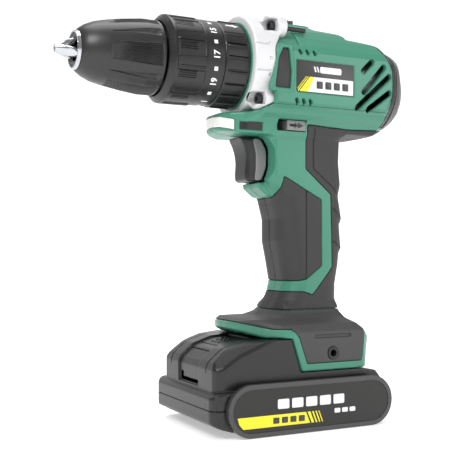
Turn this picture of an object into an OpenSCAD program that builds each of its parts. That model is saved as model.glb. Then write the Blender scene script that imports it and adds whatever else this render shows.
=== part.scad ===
// Cordless hammer drill with a slide-on battery pack.
// +X points forward along the spindle, +Y to the tool's left, +Z up.
// The origin is on the ground, under the middle of the tool's box.

/* [Spindle and chuck] */
// Height of the spindle axis above the ground
axis_z = 211; // [210:0.5:212]
// Position of the closed jaw tips
jaw_tip_x = 117; // [116.5:0.1:117.5]
// Diameter of a jaw
jaw_d = 5.6; // [5.2:0.1:5.8]
// Lean of each jaw's axis from the spindle axis
jaw_angle = 14; // [13:0.5:14.5]
// Length of a jaw
jaw_len = 30; // [26:1:30]
// Largest radius of the chuck sleeve
sleeve_r = 21; // [20.8:0.1:21.5]

/* [Rings and collar] */
// Outer radius of the torque ring
torque_ring_r = 25; // [24.5:0.1:25.5]
// Outer radius of the mode ring
mode_ring_r = 24.7; // [24:0.1:25]
// Outer radius of the gearbox collar
collar_r = 29; // [28.5:0.1:29]

/* [Gear train] */
// Gear module
gear_module = 0.7; // [0.69:0.005:0.7]
// Teeth of each sun gear
sun_teeth = 12; // [12]
// Teeth of each planet gear
planet_teeth = 18; // [18]
// Play between meshing teeth, measured round the pitch circle
backlash = 0.16; // [0.12:0.02:0.2]

/* [Motor] */
// Outer radius of the motor can
motor_r = 18.5; // [18:0.1:18.5]
// Radius of the motor shaft
shaft_r = 1.58; // [1.5:0.02:1.58]

/* [Housing] */
// Wall thickness of the housing shells
wall = 2.5; // [2.2:0.1:2.6]
// Thickness of the soft overmould
rubber = 2; // [1.8:0.1:2.2]
// Half width of the grip
grip_half_w = 18; // [17.8:0.1:18.5]
// Half width of the foot
foot_half_w = 37.5; // [37:0.1:37.8]

/* [Battery] */
// Number of cells side by side
cell_count = 5; // [5]
// Diameter of a cell
cell_d = 18.5; // [18:0.1:18.6]
// Length of a cell
cell_len = 65; // [64:0.5:66]
// Half width of the pack's main body
pack_half_w = 40; // [39.8:0.1:40]
// Wall thickness of the pack
pack_wall = 2.2; // [2:0.1:2.3]

/* [Hidden] */

// Gaps: touching fixed parts, running fits and free moving faces
seat = 0.05;
slip = 0.05;
gap = 0.3;
big = 200;

green = [0.20, 0.50, 0.40];
dark = [0.22, 0.22, 0.23];
soft = [0.31, 0.30, 0.30];
steel = [0.72, 0.73, 0.75];
bright = [0.85, 0.86, 0.87];
light_grey = [0.88, 0.88, 0.88];
copper = [0.72, 0.42, 0.22];
brass = [0.78, 0.65, 0.32];

// Side outlines, as [x, z] points, counter-clockwise
nose_tip_x = 25;
housing_front_x = -3;
collar_front_x = 10;
cap_split_x = -97;
barrel_outline = [[nose_tip_x, 171], [nose_tip_x, 178], [22, 181.3], [housing_front_x, 181.3],
    [housing_front_x, 238], [-16, 239], [-25, 240], [-37, 240], [-39, 238], [-57, 238], [-68, 233.6],
    [-95, 231.5], [-108, 229], [-114, 222], [-117, 209], [-114, 198], [-102, 188], [-98, 182],
    [-88, 173], [-62, 173], [-56, 169.8], [23, 169.8]];
// Half of the barrel seen from above, as [x, y] points from the nose to the rear
barrel_half_plan = [[nose_tip_x, 0], [23, 8], [19, 14], [12, 18.5], [2, 22], [-3, 31], [-87, 31], [-94, 27.5],
    [-101, 19.5], [-109, 9.5], [-117, 2]];
grip_outline = [[-6, 175], [-57, 175], [-55.5, 156], [-57, 144.6], [-60, 129], [-60.7, 121],
    [-60.4, 108.6], [-58.4, 93.7], [-56.4, 82], [-56, 60], [-15, 60], [-15, 69], [-19.5, 77], [-20.5, 83.4],
    [-17.5, 96.5], [-16, 108], [-16.5, 123], [-12.5, 132], [-8, 142]];
guard_outline = [[0, 142.2], [-13, 142.2], [-13, 134], [-8, 131.5], [0, 139.5]];
foot_outline = [[18, 57], [18, 61.5], [-12, 67], [-16, 72], [-56, 72], [-57, 62], [-61, 54], [-64, 47], [-62, 33.1],
    [-16.5, 33.1], [-10.3, 52.1], [3.5, 52.3]];
// The foot seen from above, as [x, y] points: a blunt prow in front
foot_plan = [[17.5, -3], [17.5, 3], [3.5, 30], [-9.5, foot_half_w], [-60, foot_half_w], [-65, 31],
    [-65, -31], [-60, -foot_half_w], [-9.5, -foot_half_w], [3.5, -30]];
// The bare stretch of the shells round the trigger and down the grip's sides
bare_outline = [[8, 176], [-30.5, 176], [-30.5, 150.7], [-48.2, 136], [-49.3, 92], [-35.2, 75.5], [-5, 76],
    [-5, 84], [-31, 85], [-41.7, 93], [-41.4, 132.7], [-17.5, 146], [-16, 136], [-10, 129], [8, 136]];
// What the soft cover takes of the foot; the rest is a bare edge band of the shells
foot_cover_outline = [[30, 64.5], [30, 90], [-80, 90], [-80, 54], [-59.5, 54], [-57, 37.5], [-19.5, 37.5],
    [-14.3, 52.6], [-10.3, 57.3], [-0.7, 57.3], [14.1, 60.8]];
trigger_outline = [[12, 169], [-8, 169], [-8, 142.8], [3.5, 142.8], [4.8, 146], [4, 152], [4.5, 158], [6.2, 163.5],
    [9.5, 167.2]];
// Half of the barrel's front profile, as [y, z] points going down
barrel_profile = [[0, 241], [10, 240.6], [18, 237.5], [25, 230], [29, 221], [30, 211], [29.5, 201],
    [27, 192], [22, 185], [19.5, 179], [18.6, 169]];
foot_profile = [[0, 76], [18, 76], [19, 71], [27, 62], [33, 56], [foot_half_w, 51], [foot_half_w, 30], [0, 30]];

// Battery outlines
pack_outline = [[42.5, 22], [38.8, 25], [38.8, 34.7], [30, 40.5], [18, 46.8], [3, 51.8], [-9.9, 51.8],
    [-15.9, 32.8], [-58, 32.8], [-68, 31], [-73, 25], [-73, 4], [-64, 1], [20, 1], [34, 4.2], [42.5, 9]];
tongue_x = [-50, -12];
tongue_half_w = 20;
tongue_top = 41;
parting_z = 15.5;
block_half_w = 36;
cell_z = 14.5;
cell_pitch = 19.5;
last_cell_x = -59;
end_plate_r = 14.5;
end_plate_x = [-74.6, 34];
end_plate_y = [pack_half_w + seat, 43];
label_margin = 2.6;
latch_x = [8, 24];
latch_half_w = 12;

// Places of the two screw rows of the collar, from the spindle axis
cover_screw_y = 20;
cover_screw_z = 22;
// Housing screws, as [x, z] points
housing_screw_places = [[-27, 133], [-45, 100], [-30, 90], [-80, 178.5], [2, 175.5], [-88, 184],
    [-50, 62], [-3, 58.5]];
screw_head_r = 3;
screw_shank_r = 1.4;
boss_r = 3.6;

// Belt clip inserts
clip_x = -37;
clip_z = 42.8;
clip_len = 8;
clip_bore_r = 2.1;
clip_insert_r = 3.5;

// The lens wraps round the nose
lens_back_x = 8;
lens_t = 2.2;

// Gear train stations along X
pitch_sun = gear_module * sun_teeth / 2;
pitch_planet = gear_module * planet_teeth / 2;
ring_teeth = sun_teeth + 2 * planet_teeth;
pitch_ring = gear_module * ring_teeth / 2;
planet_orbit = pitch_sun + pitch_planet;
pressure_angle = 20;
addendum = 0.8 * gear_module;
dedendum = 1.25 * gear_module;
ring_gear_r = 19.8;
case_r = 22;
nose_tube_r = 14;
bearing_r = 11;
spindle_r = 6;
carrier_r = 14.5;
pin_r = 1.5;
stage_x = [-30.5, -18.7];
planet_len = [8.5, 8.7];
ring_len = [11.5, 12.5];
case_back_x = -34.8;
case_wall_x = -5.8;
ball_count = 6;
ball_orbit = 17.4;
ball_r = 2.2;

// Motor stations along X
motor_front_x = -35;
motor_back_x = -92;
can_t = 1.2;
motor_bearing_r = 5;

// Moving controls
trigger_half_w = 8.5;
switch_front_x = -16;
selector_x = [-28, -17];
selector_half_w = 7;
selector_travel = 8;
lever_x = [-28.5, -16];
lever_z = [172.8, 178.4];
lever_half_len = 20.5;

// Turns a shape drawn round +Z so that it lies on the spindle axis
module on_axis(x = 0) translate([x, 0, axis_z]) rotate([0, 90, 0]) children();
// A turned part: points are [radius, x]
module turned(points) on_axis() rotate_extrude($fn = 96) polygon(points);
// A plain ring between two stations
module ring(inner, outer, x0, x1)
    turned([[inner, x0], [outer, x0], [outer, x1], [inner, x1]]);
module rod(r, x0, x1) on_axis(x0) cylinder(r = r, h = x1 - x0, $fn = 48);
// A side outline made solid between y0 and y1
module side_plate(points, y0, y1)
    translate([0, y1, 0]) rotate([90, 0, 0]) linear_extrude(y1 - y0) polygon(points);
module box(low, high) translate(low) cube(high - low);
// A cylinder across the tool
module cross_rod(x, z, r, y0, y1)
    translate([x, y1, z]) rotate([90, 0, 0]) cylinder(r = r, h = y1 - y0, $fn = 32);

// Parallel inset of a closed counter-clockwise outline
function unit(v) = v / norm(v);
function inward(a, b) = let (d = unit(b - a)) [-d[1], d[0]];
function inset(points, t) = let (n = len(points)) [for (i = [0 : n - 1])
    let (before = inward(points[(i + n - 1) % n], points[i]),
        after = inward(points[i], points[(i + 1) % n]))
    points[i] + t * (before + after) / (1 + before * after)];
// Both halves of a mirror-symmetric profile given as its +Y half from the top down
function both_sides(half) = concat([for (p = half) if (p[0] > 0) [-p[0], p[1]]],
    [for (i = [len(half) - 1 : -1 : 0]) half[i]]);
// A closed plan from its +Y half, given from the front to the rear
function plan_outline(half) = concat(half, [for (i = [len(half) - 1 : -1 : 0])
    if (half[i][1] > 0) [half[i][0], -half[i][1]]]);
function rounded_plan(x0, x1, half_w, r, steps = 6) = [for (corner = [[x1, half_w, 0], [x0, half_w, 90],
        [x0, -half_w, 180], [x1, -half_w, 270]], i = [0 : steps])
    let (a = corner[2] + 90 * i / steps)
    [corner[0] + (corner[0] == x1 ? -r : r) + r * cos(a),
        corner[1] + (corner[1] > 0 ? -r : r) + r * sin(a)]];

// Housing volumes, each inset by t
module barrel(t) intersection() {
    side_plate(inset(barrel_outline, t), -big, big);
    rotate([90, 0, 90]) translate([0, 0, -big]) linear_extrude(2 * big)
        polygon(inset(both_sides(barrel_profile), t));
    linear_extrude(2 * big) polygon(inset(plan_outline(barrel_half_plan), t));
}
module grip(t) intersection() {
    side_plate(inset(grip_outline, t), -big, big);
    linear_extrude(big) polygon(rounded_plan(-61 + t, -8 - t, grip_half_w - t, 13 - t));
}
module foot(t) intersection() {
    side_plate(inset(foot_outline, t), -big, big);
    linear_extrude(big) polygon(inset(foot_plan, t));
    rotate([90, 0, 90]) translate([0, 0, -big]) linear_extrude(2 * big)
        polygon(inset(both_sides(foot_profile), t));
}
module left_half() intersection() {
    children();
    box([-big, seat / 2, -big], [big, big, 2 * big]);
}
module right_half() intersection() {
    children();
    box([-big, -big, -big], [big, -seat / 2, 2 * big]);
}
module mirrored() {
    children();
    mirror([0, 1, 0]) children();
}

// Cuts shared by both housing shells
module cover_screw_places() for (y = [-1, 1], z = [-1, 1])
    translate([0, y * cover_screw_y, axis_z + z * cover_screw_z]) rotate([0, 90, 0]) children();
module vents() for (i = [0 : 4]) mirrored()
    side_plate([for (p = [[0, 0], [-2.6, 0], [-2.6 - 5, 26], [-5, 26]]) p + [-65 - 5 * i, 187 + 0.7 * i]],
        20, 40);
module label_plate(t, y0, y1) side_plate(inset([[-17, 194], [-17, 212.4], [-57, 212.4], [-57, 194]], t), y0, y1);
module control_cuts() {
    // Trigger opening
    box([-24, -trigger_half_w - gap, 142.5], [40, trigger_half_w + gap, 169.3]);
    // Direction lever slot
    box([lever_x[0] - gap, -40, lever_z[0] - gap], [lever_x[1] + gap, 40, lever_z[1] + gap]);
    // Speed selector slot
    box([selector_x[0] - selector_travel - gap, -selector_half_w - gap, 230],
        [selector_x[1] + gap, selector_half_w + gap, 250]);
    // Lens seat round the nose
    difference() {
        box([lens_back_x, -40, 171.3], [40, 40, 177.3]);
        barrel(lens_t + seat);
    }
}
module lugs(extra) for (y = [-1, 1], z = [-1, 1])
    translate([z > 0 ? -16 : -6, y * cover_screw_y, axis_z + z * cover_screw_z])
        rotate([0, 90, 0]) cylinder(r = 5.5 + extra, h = z > 0 ? 25 : 15, $fn = 32);
module screw_bosses() {
    for (p = housing_screw_places) cross_rod(p[0], p[1], boss_r, -foot_half_w, foot_half_w);
    translate([-30, 0, 0]) cover_screw_places() cylinder(r = 4.2, h = 27, $fn = 32);
}
module housing_core() {
    difference() {
        union() {
            barrel(0);
            grip(rubber);
            foot(rubber);
            difference() {
                foot(0);
                side_plate(foot_cover_outline, -big, big);
            }
            side_plate(guard_outline, -trigger_half_w - 1, trigger_half_w + 1);
            intersection() {
                grip(0);
                side_plate(bare_outline, -big, big);
            }
        }
        difference() {
            union() {
                barrel(wall);
                grip(rubber + wall);
                foot(wall);
                box([-52, -grip_half_w + 5, 64], [-16, grip_half_w - 5, 76]);
                box([-50, -13, 160], [-12, 13, 176]);
            }
            screw_bosses();
        }
    }
}
module housing_shell() difference() {
    housing_core();
    // The rear cap, the gearbox, the motor and the collar's lugs
    box([-big, -big, 174], [cap_split_x + seat, big, 260]);
    rod(case_r + gap, -40, 40);
    rod(motor_r + seat, -100, -30);
    lugs(seat);
    translate([-30, 0, 0]) cover_screw_places() cylinder(r = screw_shank_r, h = 40, $fn = 24);
    control_cuts();
    vents();
    mirrored() label_plate(-seat, 28.4, 40);
    mirrored() cross_rod(clip_x, clip_z, clip_insert_r + seat, 20, 60);
    // Pocket for the battery's tongue and its terminal block
    box([-58.5, -24, 20], [0, 24, 46.5]);
    for (p = housing_screw_places) {
        cross_rod(p[0], p[1], screw_shank_r, -big, 6);
        cross_rod(p[0], p[1], screw_head_r + 0.2, -big, screw_head_y(p));
    }
}
// Depth at which each screw head sits in the right shell
function screw_head_y(p) = p[1] > 185 ? -19 : p[1] > 170 ? -12 : p[1] > 70 ? -12.5 : -21.5;
module clip_bosses() mirrored() intersection() {
    difference() {
        cross_rod(clip_x, clip_z, 6.5, 26, foot_half_w - rubber - 2 * seat);
        cross_rod(clip_x, clip_z, clip_insert_r + seat, 20, 60);
    }
    foot(1);
}

module housing_left() color(green) {
    left_half() union() {
        housing_shell();
        clip_bosses();
    }
}
module housing_right() color(green) {
    right_half() union() {
        housing_shell();
        clip_bosses();
    }
}
module rear_cap() color(dark) difference() {
    barrel(0);
    barrel(wall);
    box([cap_split_x, -big, 0], [big, big, 300]);
    box([-big, -big, 0], [big, big, 174]);
    vents();
}
module grip_skin() difference() {
    grip(0);
    grip(rubber - seat);
    side_plate(inset(bare_outline, -seat), -big, big);
    barrel(-seat);
    foot(-seat);
    box([-24, -trigger_half_w - gap, 142.5], [40, trigger_half_w + gap, 180]);
    for (p = housing_screw_places) cross_rod(p[0], p[1], screw_head_r + 0.2, -big, screw_head_y(p));
}
module grip_left() color(soft) left_half() grip_skin();
module grip_right() color(soft) right_half() grip_skin();
module foot_cover() color(soft) mirrored() left_half() difference() {
    intersection() {
        foot(0);
        side_plate(inset(foot_cover_outline, seat), -big, big);
    }
    foot(rubber - seat);
    grip(-seat);
    cross_rod(clip_x, clip_z, clip_insert_r, 0, 60);
    box([-49, foot_half_w - 1.2, 52], [-25, 60, 53.6]);
    mirrored() for (p = housing_screw_places) cross_rod(p[0], p[1], screw_head_r + 0.2, -big, screw_head_y(p));
}
module housing_screws() color(steel) for (p = housing_screw_places) {
    difference() {
        union() {
            cross_rod(p[0], p[1], screw_shank_r - slip, screw_head_y(p) - 1, 5);
            cross_rod(p[0], p[1], screw_head_r, screw_head_y(p) - 2.4, screw_head_y(p) - slip);
        }
        cross_rod(p[0], p[1], 1, -big, screw_head_y(p) - 1.2);
    }
}

// Light alloy collar that covers the gearbox and clamps it to the housing
module gear_cover() color(light_grey) difference() {
    union() {
        turned([[21.2, 5.5], [case_r + 0.1, 5.5], [case_r + 0.1, housing_front_x + seat],
            [collar_r, housing_front_x + seat], [collar_r, 8], [collar_r - 2, collar_front_x],
            [21.2, collar_front_x]]);
        intersection() {
            lugs(-seat);
            box([-16, -40, 0], [collar_front_x - 1, 40, 300]);
        }
    }
    rod(case_r + 0.1, -40, 5.5);
    rod(21.2, -40, 40);
    cover_screw_places() translate([0, 0, -60]) cylinder(r = screw_shank_r + 0.2, h = 120, $fn = 24);
    cover_screw_places() translate([0, 0, 2]) cylinder(r = screw_head_r + 0.4, h = 60, $fn = 32);
    // Shallow ribs round the collar's face
    for (a = [-60 : 20 : 60]) on_axis(1) rotate([0, 0, 90 + a]) translate([collar_r - 0.5, -0.5, 0])
        cube([5, 1, 6]);
}
module gear_cover_screws() color(dark) cover_screw_places() difference() {
    union() {
        translate([0, 0, -29]) cylinder(r = screw_shank_r - slip, h = 31.5, $fn = 24);
        translate([0, 0, 2 + slip]) cylinder(r = screw_head_r, h = 3, $fn = 32);
    }
    translate([0, 0, 3]) cylinder(r = 1.5, h = 4, $fn = 6);
}

// Involute gear outline. Thin is taken off each tooth's thickness.
function involute(a) = tan(a) * 180 / PI - a;
function half_tooth(teeth, r, thin) = let (pitch = gear_module * teeth / 2,
    base = pitch * cos(pressure_angle))
    90 / teeth + involute(pressure_angle) - (r > base ? involute(acos(base / r)) : 0)
    - thin / 2 / pitch * 180 / PI;
function gear_outline(teeth, root, tip, thin) = let (mid = (root + tip) / 2,
    radii = [root, mid - (tip - root) / 6, mid + (tip - root) / 6, tip])
    [for (k = [0 : teeth - 1], side = [-1, 1], i = [0 : 3])
        let (r = radii[side < 0 ? i : 3 - i], a = 360 * k / teeth + side * half_tooth(teeth, r, thin))
        [r * cos(a), r * sin(a)]];
module gear(teeth, x, length, bore) {
    pitch = gear_module * teeth / 2;
    difference() {
        on_axis(x) linear_extrude(length)
            polygon(gear_outline(teeth, pitch - dedendum, pitch + addendum, backlash));
        rod(bore, x - 1, x + length + 1);
    }
}
module sun_outline() rotate(180 / sun_teeth)
    polygon(gear_outline(sun_teeth, pitch_sun - dedendum, pitch_sun + addendum, backlash));
module ring_gear(x, length) difference() {
    rod(ring_gear_r, x, x + length);
    on_axis(x - 1) linear_extrude(length + 2)
        polygon(gear_outline(ring_teeth, pitch_ring - addendum, pitch_ring + dedendum, -backlash));
}
module carrier_pins(x, length) on_axis(x) for (i = [0 : 2])
    rotate([0, 0, 120 * i]) translate([planet_orbit, 0, 0]) cylinder(r = pin_r, h = length, $fn = 32);
// The planet of arm i, on its own pin
module planet(stage, i) color(steel) difference() {
    on_axis(stage_x[stage]) rotate([0, 0, 120 * i]) translate([planet_orbit, 0, 0])
        linear_extrude(planet_len[stage]) polygon(gear_outline(planet_teeth, pitch_planet - dedendum,
            pitch_planet + addendum, backlash));
    on_axis(stage_x[stage] - 1) rotate([0, 0, 120 * i]) translate([planet_orbit, 0, 0])
        cylinder(r = pin_r + slip, h = 20, $fn = 32);
}

module gearbox_case() color(dark) difference() {
    turned([[ring_gear_r + seat, case_back_x], [case_r, case_back_x], [case_r, 5], [case_r - 1.2, 5],
        [case_r - 1.2, case_wall_x + 3.3], [nose_tube_r, case_wall_x + 3.3], [nose_tube_r, 50], [7, 50],
        [7, 48.3], [bearing_r + seat, 48.3], [bearing_r + seat, case_wall_x + 3.3],
        [7, case_wall_x + 3.3], [7, case_wall_x], [ring_gear_r + seat, case_wall_x]]);
    on_axis(case_wall_x - 1) for (i = [0 : ball_count - 1]) rotate([0, 0, 60 * i + 30])
        translate([ball_orbit, 0, 0]) cylinder(r = ball_r + slip, h = 6, $fn = 32);
}
module ring_gear_1() color(steel) ring_gear(stage_x[0] - 1, ring_len[0] - 0.3);
module ring_gear_2() color(steel) ring_gear(stage_x[1] - 0.3, ring_len[1] - 0.4);
module clutch_balls() color(bright) on_axis(case_wall_x + 1.95) for (i = [0 : ball_count - 1])
    rotate([0, 0, 60 * i + 30]) translate([ball_orbit, 0, 0]) sphere(r = ball_r, $fn = 32);
// Compression spring of flat turns round the gearbox's nose, between two washers
module clutch_spring() color(steel) {
    ring(nose_tube_r + 0.2, 20.4, 0.2, 1.8);
    for (i = [0 : 4]) on_axis() rotate_extrude($fn = 64) translate([ball_orbit, 4 + 4.5 * i])
        circle(r = 1.3, $fn = 24);
    ring(nose_tube_r + 0.2, 20.4, 24.2, 27);
}
module bearing(inner, outer, x0, x1) {
    third = (outer - inner) / 3;
    difference() {
        ring(inner, outer, x0, x1);
        ring(inner + third, outer - third, x1 - 0.4, x1 + 1);
    }
}
module bearings() color(bright) {
    bearing(spindle_r + slip, bearing_r, 0, 6);
    bearing(spindle_r + slip, bearing_r, 42, 48);
    bearing(shaft_r + slip, motor_bearing_r, -39, -35.2);
    bearing(shaft_r + slip, motor_bearing_r, -93, -89.2);
}

module motor_can() color(steel) turned([[motor_r - can_t, motor_back_x], [motor_r, motor_back_x],
    [motor_r, motor_front_x], [motor_bearing_r + seat, motor_front_x],
    [motor_bearing_r + seat, motor_front_x - 3.9], [motor_bearing_r + 1.2, motor_front_x - 3.9],
    [motor_bearing_r + 1.2, motor_front_x - 1.5], [motor_r - can_t, motor_front_x - 1.5]]);
module motor_magnets() color([0.3, 0.3, 0.32]) for (side = [-1, 1]) intersection() {
    ring(14.4, motor_r - can_t - seat, -80, -48);
    on_axis(-90) linear_extrude(60)
        polygon([[0, 0], [12, side * 30], [0, side * 36], [-12, side * 30]]);
}
module motor_end_bell() color(dark) difference() {
    union() {
        rod(motor_r - can_t - seat, motor_back_x, -89);
        for (side = [-1, 1]) box([-89.5, side > 0 ? 5 : -14, axis_z - 3.6],
            [-82.6, side > 0 ? 14 : -5, axis_z + 3.6]);
    }
    rod(motor_bearing_r + seat, -100, -88.9);
    box([-88.5, -20, axis_z - 2.4], [-82, 20, axis_z + 2.4]);
}
module carbon_brushes() color([0.15, 0.15, 0.15]) mirrored()
    box([-88.3, 4.8, axis_z - 2.2], [-83, 13, axis_z + 2.2]);
module motor_shaft() color(bright) {
    rod(shaft_r, -96, -31);
    on_axis(-31.2) linear_extrude(9.2) sun_outline();
}
module armature() color([0.45, 0.45, 0.47]) difference() {
    rod(13.9, -78, -50);
    rod(shaft_r + seat, -100, 0);
    for (i = [0 : 4]) on_axis(-80) rotate([0, 0, 72 * i]) translate([7.5, -1.4, 0]) cube([8, 2.8, 40]);
}
module windings() color(copper) for (x = [[-82, -78.1], [-49.9, -46]]) difference() {
    ring(shaft_r + 1.2, 12.4, x[0], x[1]);
    for (i = [0 : 4]) on_axis(x[0] - 1) rotate([0, 0, 72 * i]) translate([8.5, -1, 0]) cube([8, 2, 8]);
}
module commutator() color(brass) difference() {
    rod(4.7, -88.4, -82.2);
    rod(shaft_r + seat, -100, 0);
    for (i = [0 : 4]) on_axis(-89) rotate([0, 0, 72 * i]) translate([4.2, -0.3, 0]) cube([2, 0.6, 10]);
}
module cooling_fan() color(dark) difference() {
    union() {
        ring(shaft_r + seat, 4.5, -45.5, -40);
        ring(4.4, 14.6, -45.5, -44.5);
        for (i = [0 : 8]) on_axis(-44.6) rotate([0, 0, 40 * i]) translate([4.2, -0.5, 0]) cube([10.2, 1, 4.4]);
    }
    rod(shaft_r + seat, -100, 0);
}
module carrier_1() color(steel) {
    rod(carrier_r, -21.7, -19.2);
    carrier_pins(-30, 8.5);
    on_axis(-19.4) linear_extrude(9.4) sun_outline();
}
module output_spindle() color(steel) {
    rod(carrier_r, -9.7, -6.3);
    carrier_pins(-18.2, 8.7);
    rod(spindle_r, -6.5, 50);
    rod(spindle_r - 0.2, 49, 73.5);
}

// Chuck
jaw_offset = 1.2;
nose_x = 107;
chuck_hub_x = 54;
module jaw_shape(r, length) translate([jaw_tip_x, 0, jaw_offset]) rotate([0, jaw_angle - 90, 0])
    cylinder(r = r, h = length, $fn = 48);
module at_jaw(i) translate([0, 0, axis_z]) rotate([120 * i, 0, 0]) children();
module jaw(i) color(bright) at_jaw(i) difference() {
    intersection() {
        jaw_shape(jaw_d / 2, jaw_len);
        // The third of the chuck that belongs to this jaw
        rotate([90, 0, 90]) translate([0, 0, 50]) linear_extrude(80)
            polygon([[0, 0.06], [60, 0.06 + 60 * tan(30)], [60, 80], [-60, 80], [-60, 0.06 + 60 * tan(30)]]);
        // The cone that all three tips share
        rotate([0, 90, 0]) cylinder(r1 = 2.2 + jaw_tip_x * 0.42, r2 = 2.2, h = jaw_tip_x, $fn = 64);
    }
}
module chuck_body() color(dark) difference() {
    turned([[spindle_r - 0.2 + seat, chuck_hub_x], [12, chuck_hub_x], [12, 60.3], [18.8, 60.3],
        [18.8, 61.6], [15, 61.6], [15, 92], [10.1, 104.1], [9.3, 104.1], [9.3, 106], [6.4, 106], [6.4, 78],
        [spindle_r - 0.2 + seat, 78]]);
    for (i = [0 : 2]) at_jaw(i) intersection() {
        jaw_shape(jaw_d / 2 + slip, 80);
        box([61.9, -40, -10], [130, 40, 60]);
    }
}
module chuck_screw() color(dark) difference() {
    rod(4, 73.6, 77);
    on_axis(75) cylinder(r = 1.8, h = 6, $fn = 6);
}
module nose_ring() color(bright) turned([[9.3 + seat, 104.2], [10.4, 104.2], [10.7, 105.2], [10.3, nose_x],
    [9.3 + seat, nose_x]]);
module chuck_sleeve() color(dark) difference() {
    turned([[19.2, 60], [sleeve_r - 0.8, 60], [sleeve_r, 61], [sleeve_r, 69], [17.4, 91.5], [13.4, 101],
        [11.2, 105], [10.9, 105], [10.9, 103.8], [15.1 + 0.1, 93], [15.1 + 0.1, 86.2], [16.7, 86.2],
        [16.7, 76], [19.2, 75]]);
    // Flutes round the sleeve
    for (i = [0 : 5]) on_axis(62) rotate([0, 0, 60 * i]) translate([sleeve_r + 2.1, 0, 0])
        rotate([0, -6, 0]) cylinder(r = 3, h = 28, $fn = 24);
}
module chuck_nut() color(steel) ring(15.2, 16.65, 77, 85);

// Grip pads stand on the torque ring's front half
module torque_ring() color(dark) difference() {
    turned([[22.2, 26.1], [torque_ring_r - 0.5, 26.1], [torque_ring_r - 0.5, 38],
        [torque_ring_r - 0.9, 39], [torque_ring_r - 0.9, 54], [torque_ring_r, 55], [torque_ring_r, 56.5],
        [21.9, 59.3], [21.4, 59.3], [21.4, 53], [9, 53], [9, 50.6], [22.2, 50.6]]);
    for (i = [0 : 19]) on_axis(38.8) rotate([0, 0, 18 * i]) translate([torque_ring_r - 1.4, -1.6, 0])
        cube([4, 3.2, 10]);
}
module mode_ring() color(dark) difference() {
    ring(21.6, mode_ring_r, collar_front_x + gap, 25.8);
    for (i = [0 : 15]) on_axis(12) rotate([0, 0, 22.5 * i + 11.25]) translate([mode_ring_r - 0.8, -1, 0])
        cube([4, 2, 20]);
}

module trigger() color(dark) difference() {
    side_plate(trigger_outline, -trigger_half_w, trigger_half_w);
    // Shallow side panels
    mirrored() side_plate([[0, 166], [-6, 166], [-6, 145], [0, 145]], trigger_half_w - 0.6, 20);
}
module switch_body() color(dark) box([-42, -9, 145], [switch_front_x, 9, 168]);
module direction_lever() color([0.5, 0.5, 0.5]) difference() {
    box([lever_x[0], -lever_half_len, lever_z[0]], [lever_x[1], lever_half_len, lever_z[1]]);
    mirrored() side_plate([[-18, 175.6], [-22, 177.4], [-22, 173.8]], lever_half_len - 0.5, 40);
}
module speed_selector() color(dark) difference() {
    box([selector_x[0], -selector_half_w, 233.5], [selector_x[1], selector_half_w, 241]);
    for (i = [0 : 3]) box([selector_x[0] + 2 + 2 * i, -selector_half_w - 1, 240.2],
        [selector_x[0] + 3 + 2 * i, selector_half_w + 1, 250]);
}
module led_lens() color([0.95, 0.95, 0.92]) difference() {
    intersection() {
        barrel(0);
        box([lens_back_x + seat, -40, 171.3 + seat], [40, 40, 177.3 - seat]);
    }
    barrel(lens_t);
}
module led_board() color([0.1, 0.35, 0.2]) box([10.2, -5, 174], [14.8, 5, 175.2]);

// A lead through a short chain of points
module lead(points, r = 1) for (i = [0 : len(points) - 2]) hull() {
    translate(points[i]) sphere(r = r, $fn = 10);
    translate(points[i + 1]) sphere(r = r, $fn = 10);
}
// From the switch back to the motor, as [x, z], and down to the battery terminals
motor_lead = [[-44, 152], [-47, 162], [-47, 178], [-58, 184], [-84, 188.5], [-94.5, 190], [-94.5, 203]];
pack_lead = [[-34, 4, 143.5], [-35, 4, 120], [-37, 4, 90], [-37, 6, 56], [-40, 8, 47.2]];
module wiring() {
    for (side = [1, -1]) color([side > 0 ? 0.7 : 0.1, 0.1, 0.1]) {
        lead([for (p = motor_lead) [p[0], side * 3.5, p[1]]]);
        lead([for (p = pack_lead) [p[0], side * p[1], p[2]]]);
    }
}
module terminal_block() color(dark) {
    box([-58, -22, 42], [-14, 22, 46]);
    box([-58, -18, 33.8], [tongue_x[0] - 0.6, 18, 42.1]);
}
blade_y = [-10, -3.5, 3.5, 10];
module terminal_blades() color(brass) for (y = blade_y)
    box([tongue_x[0] - 0.55, y - 0.4, 35], [-41, y + 0.4, 40]);
module side_labels() color([0.8, 0.8, 0.78]) mirrored() label_plate(0, 28.5, 29.3);
module clip_inserts() color(brass) mirrored() difference() {
    cross_rod(clip_x, clip_z, clip_insert_r, foot_half_w - clip_len - 0.1, foot_half_w - 0.1);
    cross_rod(clip_x, clip_z, clip_bore_r, 0, 60);
}

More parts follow.
